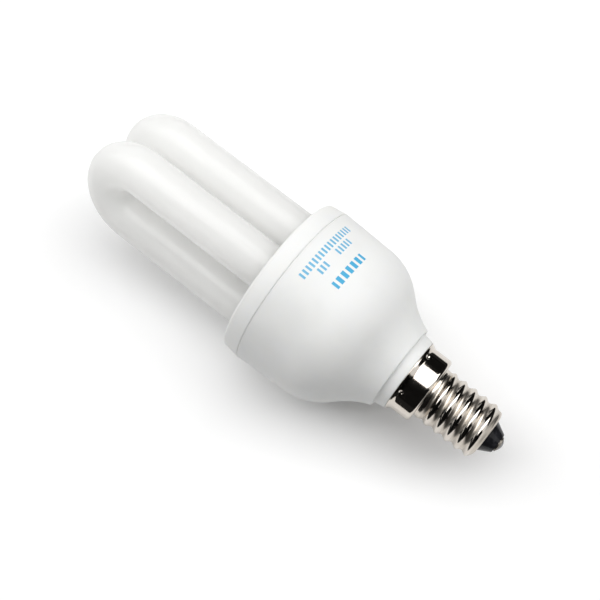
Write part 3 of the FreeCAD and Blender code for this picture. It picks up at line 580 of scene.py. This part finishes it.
def smooth_step(value):
    """Smooth rise from 0 to 1, level before and after."""
    value = min(max(value, 0.0), 1.0)
    return value * value * (3 - 2 * value)


# Screw cap
CRIMPS = 5                             # punch marks
CRIMP_FROM_RIM = 1.35 * MM
CRIMP_REACH = 0.74 * MM
COLUMNS = 192
COLUMN_CROWDING = 0.55                 # more columns where the punch marks are
THREAD_FADE = 1.6 * MM                 # over which the thread rises from the shoulder
THREAD_END = 75                        # degrees of the end's rounding where the thread is gone
# Roundings from skirt to shoulder, from shoulder to thread, and from thread to end
SKIRT_ROUND = 0.9 * MM
FOOT_ROUND = 0.3 * MM
END_ROUND = 1.6 * MM
# Points along each stretch of the profile
RIM_POINTS = 8
FLARE_POINTS = 9
SKIRT_POINTS = 40
SKIRT_ROUND_POINTS = 9
SHOULDER_POINTS = 4
FOOT_POINTS = 6
THREAD_POINTS = 104
END_POINTS = 20


def rounding(x, radius, reach, start, end, count):
    """Part of the profile round a place and radius, between two angles in degrees."""
    turns = [math.radians(turn) for turn in span(start, end, count)]
    return [(x + reach * math.sin(turn), radius + reach * math.cos(turn), 0) for turn in turns]


def cap_profile(sizes):
    """Outer line of the cap from rim to lip: place, radius and share of the thread's height."""
    rim = sizes.cap_start
    shoulder = rim + sizes.skirt_length
    end = shoulder + sizes.thread_length
    flare = sizes.rim_radius - sizes.skirt_radius
    mean = (sizes.crest_radius + sizes.root_radius) / 2
    half = sizes.sheet / 2
    line = rounding(rim + half, sizes.rim_radius - half, half, -90, 45, RIM_POINTS)
    start, outer, _ = line[-1]
    for share in span(0, 1, FLARE_POINTS)[1:]:
        line.append((start + 2 * flare * share,
                     outer + (sizes.skirt_radius - outer) * smooth_step(share), 0))
    for x in span(line[-1][0], shoulder - SKIRT_ROUND, SKIRT_POINTS)[1:]:
        line.append((x, sizes.skirt_radius, 0))
    inner = sizes.skirt_radius - SKIRT_ROUND
    line += rounding(shoulder - SKIRT_ROUND, inner, SKIRT_ROUND, 0, 90, SKIRT_ROUND_POINTS)[1:]
    foot = mean + FOOT_ROUND
    for radius in span(inner, foot, SHOULDER_POINTS)[1:]:
        line.append((shoulder, radius, 0))
    line += rounding(shoulder + FOOT_ROUND, foot, FOOT_ROUND, 270, 180, FOOT_POINTS)[1:]
    start = line[-1][0]
    fade_out = end - END_ROUND
    for x in span(start, fade_out, THREAD_POINTS)[1:]:
        line.append((x, mean, smooth_step((x - start) / THREAD_FADE)))
    flat = sizes.root_radius - END_ROUND
    for turn in span(0, 90, END_POINTS)[1:]:
        roll = math.radians(turn)
        line.append((fade_out + END_ROUND * math.sin(roll), flat + (mean - flat) * math.cos(roll),
                     1 - smooth_step(turn / THREAD_END)))
    line.append((end, sizes.lip_radius, 0))
    return line


def crimp_depth(sizes, x, angle):
    """How far the skirt is pressed in at a place."""
    step = math.tau / CRIMPS
    off = (angle - sizes.crimp_angle + step / 2) % step - step / 2
    away = math.hypot(off * sizes.skirt_radius, x - sizes.cap_start - CRIMP_FROM_RIM) / CRIMP_REACH
    return sizes.crimp_depth * (1 - smooth_step(away))


def thread_height(sizes, x, angle):
    """Height of the right-handed thread over its mean radius."""
    crest = sizes.first_crest + sizes.thread_pitch * (angle - sizes.first_crest_angle) / math.tau
    phase = math.tau * (x - crest) / sizes.thread_pitch
    return (sizes.crest_radius - sizes.root_radius) / 2 * math.cos(phase)


def cap_angles(sizes):
    """Angles of the mesh's columns, closer together at the punch marks."""
    angles = []
    for column in range(COLUMNS):
        even = sizes.crimp_angle + math.tau * column / COLUMNS
        shift = COLUMN_CROWDING / CRIMPS * math.sin(CRIMPS * (even - sizes.crimp_angle))
        angles.append(even - shift)
    return angles


def cap_points(sizes):
    """Points of the cap's outer side from rim to lip, then of its inner side back to the rim."""
    profile = cap_profile(sizes)
    back = []
    for number in reversed(range(len(profile))):
        before = profile[max(number - 1, 0)]
        after = profile[min(number + 1, len(profile) - 1)]
        slope = Vector((after[0] - before[0], after[1] - before[1])).normalized()
        x, radius, share = profile[number]
        if x < sizes.cap_start + sizes.sheet:
            continue
        back.append((x + slope.y * sizes.sheet, radius - slope.x * sizes.sheet, share))
    points = []
    for x, radius, share in profile + back:
        for angle in cap_angles(sizes):
            reach = radius + share * thread_height(sizes, x, angle) - crimp_depth(sizes, x, angle)
            points.append((x, reach * math.cos(angle), reach * math.sin(angle)))
    return points, len(profile) + len(back)


# Operators

def lamp_origin():
    """Empty at the lamp's own frame, which the materials measure from."""
    name = "lamp frame"
    origin = bpy.data.objects.get(name)
    if origin is None:
        origin = bpy.data.objects.new(name, None)
        bpy.context.scene.collection.objects.link(origin)
        origin.matrix_world = LAMP
        bpy.context.view_layer.update()
    return origin


def dress(material, *names):
    """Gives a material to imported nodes."""
    for name in names:
        node = frame["nodes"][name]
        node.data.materials.clear()
        node.data.materials.append(material)


class DressGlass(bpy.types.Operator):
    """Coated glass on the discharge tube"""
    bl_idname = "lamp.dress_glass"
    bl_label = "Glass tubes"

    def execute(self, context):
        dress(coated_glass(lamp_origin(), context.scene.lamp_colours), "discharge_tube")
        return {"FINISHED"}


class DressMouldings(bpy.types.Operator):
    """White plastic on the tube holder and the housing, with the printed marks"""
    bl_idname = "lamp.dress_mouldings"
    bl_label = "Holder and housing"

    def execute(self, context):
        colours = context.scene.lamp_colours
        dress(holder_plastic(lamp_origin(), colours), "tube_holder")
        dress(housing_plastic(lamp_origin(), colours), "ballast_housing")
        return {"FINISHED"}


class BuildCap(bpy.types.Operator):
    """Screw cap of thin sheet with its rolled thread and punch marks"""
    bl_idname = "lamp.build_cap"
    bl_label = "Screw cap"

    def execute(self, context):
        sizes = context.scene.lamp_sizes
        points, rows = cap_points(sizes)
        faces = ring_faces(rows, COLUMNS)
        finish = plated_nickel(lamp_origin(), context.scene.lamp_colours)
        cap = piece("rolled_screw_cap", points, faces, finish)
        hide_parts("cap_shell")
        return {"FINISHED"}


class DressContact(bpy.types.Operator):
    """Black glass, centre contact and solder"""
    bl_idname = "lamp.dress_contact"
    bl_label = "Insulator and contact"

    def execute(self, context):
        origin = lamp_origin()
        dress(black_glass(origin, context.scene.lamp_colours), "cap_insulator")
        dress(plain_metal("contact metal", origin, patch=0.9 * MM, rough=0.28),
              "centre_contact")
        dress(plain_metal("solder", origin, patch=0.7 * MM, rough=0.25), "contact_solder")
        return {"FINISHED"}


class DressBallast(bpy.types.Operator):
    """Finishes of the pieces that are closed in by the housing"""
    bl_idname = "lamp.dress_ballast"
    bl_label = "Ballast"

    def execute(self, context):
        origin = lamp_origin()
        dress(moulded("tube cement", origin, rough=0.8, relief=0.05 * MM), "tube_cement")
        dress(laminate(origin), "circuit_board")
        dress(sleeved_can(origin), "bulk_capacitor")
        dress(moulded("ferrite", origin, rough=0.55), "choke_core", "drive_ring_core")
        dress(moulded("former plastic", origin, rough=0.4), "choke_bobbin")
        dress(wound_copper(origin), "choke_winding", "drive_ring_windings", "filter_coil")
        dress(moulded("film dip", origin, rough=0.18, patch=1.5 * MM, relief=0.03 * MM),
              "resonant_capacitor", "blocking_capacitor")
        dress(moulded("transistor case", origin, rough=0.5),
              "upper_transistor", "lower_transistor")
        dress(banded("diode case", origin, first=14.2 * MM, pitch=12 * MM, width=0.8 * MM),
              "rectifier_diodes")
        dress(banded("resistor coat", origin, first=11.2 * MM, pitch=0.95 * MM, width=0.4 * MM),
              "resistors", "trigger_diode")
        dress(banded("fuse coat", origin, first=31.9 * MM, pitch=1.3 * MM, width=0.5 * MM),
              "fuse_resistor")
        dress(plain_metal("tinned brass", origin, patch=0.8 * MM, rough=0.2), "wrap_pins")
        dress(plain_metal("lead wire", origin, patch=0.6 * MM, rough=0.25), "electrode_leads")
        dress(moulded("wire cover", origin, rough=0.35), "live_wire", "neutral_wire")
        return {"FINISHED"}


# Studio
WHITE = (1, 1, 1, 1)
FLOOR_HALF = 6.0                       # of the floor's side
PAPER_WHITE = 0.88                     # what the paper gives back of the light that falls
FLOOR_GLOW = 0.05                      # added where the paper is seen, near the lamp
GLOW_REACH = (0.35, 1.3)               # from the lamp, over which the glow rises to white
FILL_STRENGTH = 0.065
SOFTBOX_DISTANCE = 0.95
SOFTBOX_LEAN = math.radians(29.5)      # from the camera towards the top of the image
SOFTBOX_WIDTH = 2.6
SOFTBOX_HEIGHT = 0.80
SOFTBOX_POWER = 18.4                   # watts
CARD_RADIUS = 1.6                      # of the curve round the lamp's joint
CARD_HALF_LENGTH = 4.0
CARD_POINTS = 13                       # along the curve
CARD_COLOUR = (0.02, 0.02, 0.02, 1)
# Degrees round the lamp, from the side of the camera
CARD_SPANS = {"upper_card": (-110, -50), "lower_card": (-5, 84)}
# Edge that is nearest to the lamp, from its axis
MAT_EDGES = {"upper_mat": 83 * MM, "lower_mat": -47 * MM}
MAT_LIFT = 0.5 * MM
NEAREST_SEEN = 10 * MM                 # from the camera


def stage_sheet(name, points, faces, material):
    """Sheet of the studio."""
    mesh = bpy.data.meshes.new(name)
    mesh.from_pydata(points, [], faces)
    mesh.materials.append(material)
    sheet = bpy.data.objects.new(name, mesh)
    bpy.context.scene.collection.objects.link(sheet)
    return sheet


def level_sheet(name, near, far, height, material):
    """Level sheet of the studio, as wide as the floor, between two places across it."""
    points = [(-FLOOR_HALF, near, height), (FLOOR_HALF, near, height),
              (FLOOR_HALF, far, height), (-FLOOR_HALF, far, height)]
    return stage_sheet(name, points, [(0, 1, 2, 3)], material)


def floor_paper():
    """Paper that is white where it is seen, also far off, where little light falls."""
    paper = bpy.data.materials.new("floor paper")
    tree = Tree(paper)
    place = tree.node("TexCoord", {}, {}).outputs["Object"]
    length = tree.node("VectorMath", {"operation": "LENGTH"}, {0: place})
    far = Field(tree, length.outputs["Value"]).ramp(*GLOW_REACH)
    seen = tree.seen()
    matt = tree.node("BsdfDiffuse", {}, {"Color": seen * (1 - PAPER_WHITE) + PAPER_WHITE})
    glow = tree.node("Emission", {}, {"Color": far * (1 - FLOOR_GLOW) + FLOOR_GLOW,
                                      "Strength": seen})
    both = tree.node("AddShader", {}, {0: matt.outputs[0], 1: glow.outputs[0]})
    tree.node("OutputMaterial", {}, {"Surface": both.outputs[0]})
    return paper


def studio_world():
    """Plain fill light all round, white where it is seen."""
    world = bpy.data.worlds.new("studio")
    bpy.context.scene.world = world
    tree = Tree(world)
    strength = tree.seen() * (1 - FILL_STRENGTH) + FILL_STRENGTH
    light = tree.node("Background", {}, {"Color": WHITE, "Strength": strength})
    tree.node("OutputWorld", {}, {"Surface": light.outputs[0]})


def only_reflected(sheet):
    """Hides a sheet of the studio from everything but polished surfaces."""
    sheet.visible_camera = False
    sheet.visible_diffuse = False
    sheet.visible_transmission = False
    sheet.visible_shadow = False


def dark_surroundings(along, across, away):
    """Dark curved cards round the set and dark mats round its paper, which only polish shows."""
    black = bpy.data.materials.new("dark card")
    tree = Tree(black)
    matt = tree.node("BsdfDiffuse", {}, {"Color": CARD_COLOUR})
    tree.node("OutputMaterial", {}, {"Surface": matt.outputs[0]})
    for name, (start, end) in CARD_SPANS.items():
        points = []
        for turn in span(math.radians(start), math.radians(end), CARD_POINTS):
            out = -away * math.cos(turn) + across * math.sin(turn)
            for reach in (-CARD_HALF_LENGTH, CARD_HALF_LENGTH):
                points.append(LAMP.translation + out * CARD_RADIUS + along * reach)
        faces = [(n, n + 1, n + 3, n + 2) for n in range(0, len(points) - 2, 2)]
        only_reflected(stage_sheet(name, points, faces, black))
    for name, near in MAT_EDGES.items():
        far = math.copysign(FLOOR_HALF, near)
        only_reflected(level_sheet(name, near, far, MAT_LIFT, black))


def aimed(made, place, target, upwards):
    """Turns an object so that its -Z looks from its place at a target."""
    back = (place - target).normalized()
    right = upwards.cross(back).normalized()
    over = back.cross(right)
    turn = Matrix((right, over, back)).transposed().to_4x4()
    made.matrix_world = Matrix.Translation(place) @ turn


def softbox(down, away):
    """Wide soft light over the top of the image, aimed at the joint."""
    light = bpy.data.lights.new("softbox", "AREA")
    light.shape = "RECTANGLE"
    light.size = SOFTBOX_WIDTH
    light.size_y = SOFTBOX_HEIGHT
    light.energy = SOFTBOX_POWER
    made = bpy.data.objects.new("softbox", light)
    bpy.context.scene.collection.objects.link(made)
    joint = LAMP.translation
    towards = -away * math.cos(SOFTBOX_LEAN) - down * math.sin(SOFTBOX_LEAN)
    aimed(made, joint + towards * SOFTBOX_DISTANCE, joint, -down)


def viewer(right, down, away, place):
    """Camera with the photograph's lens, at a place."""
    camera = bpy.data.cameras.new("camera")
    camera.sensor_width = SENSOR
    camera.lens = SENSOR * FOCAL_PIXELS / IMAGE_PIXELS
    camera.clip_start = NEAREST_SEEN
    made = bpy.data.objects.new("camera", camera)
    bpy.context.scene.collection.objects.link(made)
    turn = Matrix((right, -down, -away)).transposed().to_4x4()
    made.matrix_world = Matrix.Translation(place) @ turn
    return made


class BuildStudio(bpy.types.Operator):
    """Floor, light and the camera at the photograph's angle"""
    bl_idname = "lamp.build_studio"
    bl_label = "Studio"

    def execute(self, context):
        scene = context.scene
        scene.view_settings.view_transform = "Standard"
        studio_world()
        level_sheet("floor", -FLOOR_HALF, FLOOR_HALF, 0, floor_paper())
        along, across, away = view_axes()
        right = math.cos(LAMP_SLOPE) * along - math.sin(LAMP_SLOPE) * across
        down = math.sin(LAMP_SLOPE) * along + math.cos(LAMP_SLOPE) * across
        dark_surroundings(along, across, away)
        softbox(down, away)
        shift = JOINT_RIGHT * along + JOINT_BELOW * across
        place = LAMP.translation - shift - CAMERA_DISTANCE * away
        scene.camera = viewer(right, down, away, place)
        return {"FINISHED"}


STEPS = (DressGlass, DressMouldings, BuildCap, DressContact, DressBallast, BuildStudio)


class LampPanel(bpy.types.Panel):
    """Lists the lamp's settings and the steps that build it"""
    bl_idname = "VIEW3D_PT_lamp"
    bl_label = "Compact lamp"
    bl_space_type = "VIEW_3D"
    bl_region_type = "UI"
    bl_category = "Lamp"

    def draw(self, context):
        for group in (context.scene.lamp_sizes, context.scene.lamp_colours):
            for name in group.__annotations__:
                self.layout.prop(group, name)
        for step in STEPS:
            self.layout.operator(step.bl_idname)


CLASSES = (LampSizes, LampColours, *STEPS, LampPanel)


def register():
    for made in CLASSES:
        bpy.utils.register_class(made)
    bpy.types.Scene.lamp_sizes = bpy.props.PointerProperty(type=LampSizes)
    bpy.types.Scene.lamp_colours = bpy.props.PointerProperty(type=LampColours)


def unregister():
    del bpy.types.Scene.lamp_sizes
    del bpy.types.Scene.lamp_colours
    for made in reversed(CLASSES):
        bpy.utils.unregister_class(made)


def main():
    register()
    bpy.ops.lamp.dress_glass()
    bpy.ops.lamp.dress_mouldings()
    bpy.ops.lamp.build_cap()
    bpy.ops.lamp.dress_contact()
    bpy.ops.lamp.dress_ballast()
    bpy.ops.lamp.build_studio()


if __name__ == "__main__":
    main()
